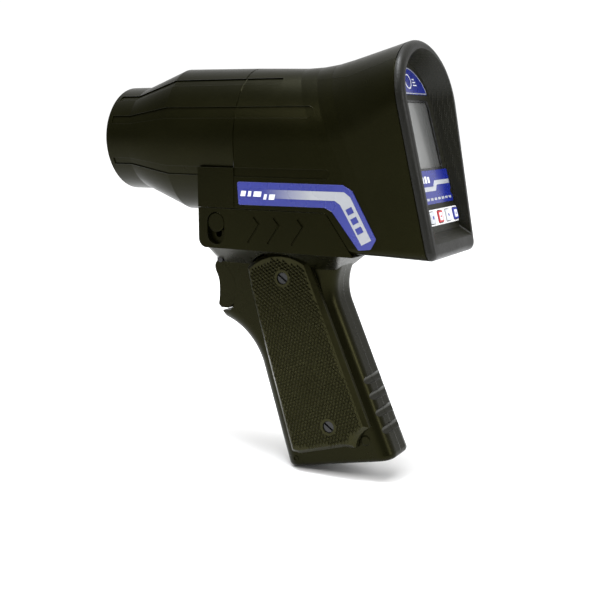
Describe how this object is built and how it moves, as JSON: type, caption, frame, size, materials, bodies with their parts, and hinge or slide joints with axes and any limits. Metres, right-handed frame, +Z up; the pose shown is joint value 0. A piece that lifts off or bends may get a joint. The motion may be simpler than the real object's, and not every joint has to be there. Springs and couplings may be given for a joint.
{
  "type": "speed radar gun",
  "caption": "Hand-held speed radar gun: round antenna barrel widening to a hooded rear display, with a keypad, a side lock slide and a pistol grip with a sprung trigger.",
  "frame": {"origin": "middle of the nose's flat front face, on the antenna axis", "axes": "+X out of the nose along the beam; +Y to the gun's left side; +Z up, away from the grip"},
  "size_m": [0.1884, 0.0658, 0.2151],
  "materials": {
    "battery": "satin",
    "bezel": "satin",
    "brass": "satin",
    "casing": "satin",
    "circuit_board": "satin",
    "display": "gloss",
    "fascia": "satin",
    "gasket": "matte",
    "grip_frame": "satin",
    "grip_panel": "satin",
    "horn": "satin",
    "key": "satin",
    "key_red": "satin",
    "keypad": "satin",
    "label": "gloss",
    "lead": "matte",
    "lens": "satin",
    "small_plastic": "satin",
    "speaker": "satin",
    "steel": "satin",
    "transceiver": "satin",
    "window": "gloss"
  },
  "bodies": {
    "gun": {"antenna_horn": "horn", "antenna_lead": "lead", "antenna_lens": "lens", "arch_label": "label", "base_pin": "steel", "base_plate": "grip_frame", "battery_lead": "lead", "battery_pack": "battery", "board_screws": "steel", "display_board": "circuit_board", "display_lead": "lead", "display_window": "window", "front_housing": "casing", "grip_bushings": "brass", "grip_frame_left": "grip_frame", "grip_frame_right": "grip_frame", "grip_mount_screws": "steel", "grip_panel_left": "grip_panel", "grip_panel_right": "grip_panel", "grip_screws": "steel", "housing_screws": "steel", "info_label": "label", "keypad_plate": "keypad", "lcd_module": "display", "main_board": "circuit_board", "rear_bezel": "bezel", "rear_fascia": "fascia", "rear_housing": "casing", "saddle": "casing", "saddle_screws": "steel", "seam_gasket": "gasket", "side_label_left": "label", "side_label_right": "label", "speaker": "speaker", "transceiver": "transceiver", "trigger_lead": "lead", "trigger_pin": "steel", "trigger_switch": "small_plastic"},
    "key_1": {"key_1": "key"},
    "key_2": {"key_2": "key"},
    "key_3": {"key_3": "key_red"},
    "key_4": {"key_4": "key"},
    "key_5": {"key_5": "key"},
    "lock_slide": {"lock_slide": "small_plastic"},
    "trigger": {"trigger": "grip_frame", "trigger_spring": "steel"},
    "switch_plunger": {"switch_plunger": "small_plastic"}
  },
  "joints": [
    {"name": "key_1_press", "type": "slide", "parent": "gun", "child": "key_1", "axis": [0.9637, 0, -0.267], "range_m": [0, 0.0005], "stiffness_N_per_m": 400, "springref_m": -0.0005},
    {"name": "key_2_press", "type": "slide", "parent": "gun", "child": "key_2", "axis": [0.9637, 0, -0.267], "range_m": [0, 0.0005], "stiffness_N_per_m": 400, "springref_m": -0.0005},
    {"name": "key_3_press", "type": "slide", "parent": "gun", "child": "key_3", "axis": [0.9637, 0, -0.267], "range_m": [0, 0.0005], "stiffness_N_per_m": 400, "springref_m": -0.0005},
    {"name": "key_4_press", "type": "slide", "parent": "gun", "child": "key_4", "axis": [0.9637, 0, -0.267], "range_m": [0, 0.0005], "stiffness_N_per_m": 400, "springref_m": -0.0005},
    {"name": "key_5_press", "type": "slide", "parent": "gun", "child": "key_5", "axis": [0.9637, 0, -0.267], "range_m": [0, 0.0005], "stiffness_N_per_m": 400, "springref_m": -0.0005},
    {"name": "lock_slide_travel", "type": "slide", "parent": "gun", "child": "lock_slide", "axis": [0, 0, -1], "range_m": [0, 0.006]},
    {"name": "trigger_pull", "type": "hinge", "parent": "gun", "child": "trigger", "pos_m": [-0.065, 0, -0.0615], "axis": [0, 1, 0], "range_deg": [0, 7], "stiffness_Nm_per_rad": 0.3, "springref_deg": -8.59},
    {"name": "plunger_travel", "type": "slide", "parent": "gun", "child": "switch_plunger", "axis": [-1, 0, 0], "range_m": [0, 0.0017]}
  ],
  "couplings": [
    {"joint": "plunger_travel", "follows": "trigger_pull", "m_per_rad": 0.013}
  ]
}
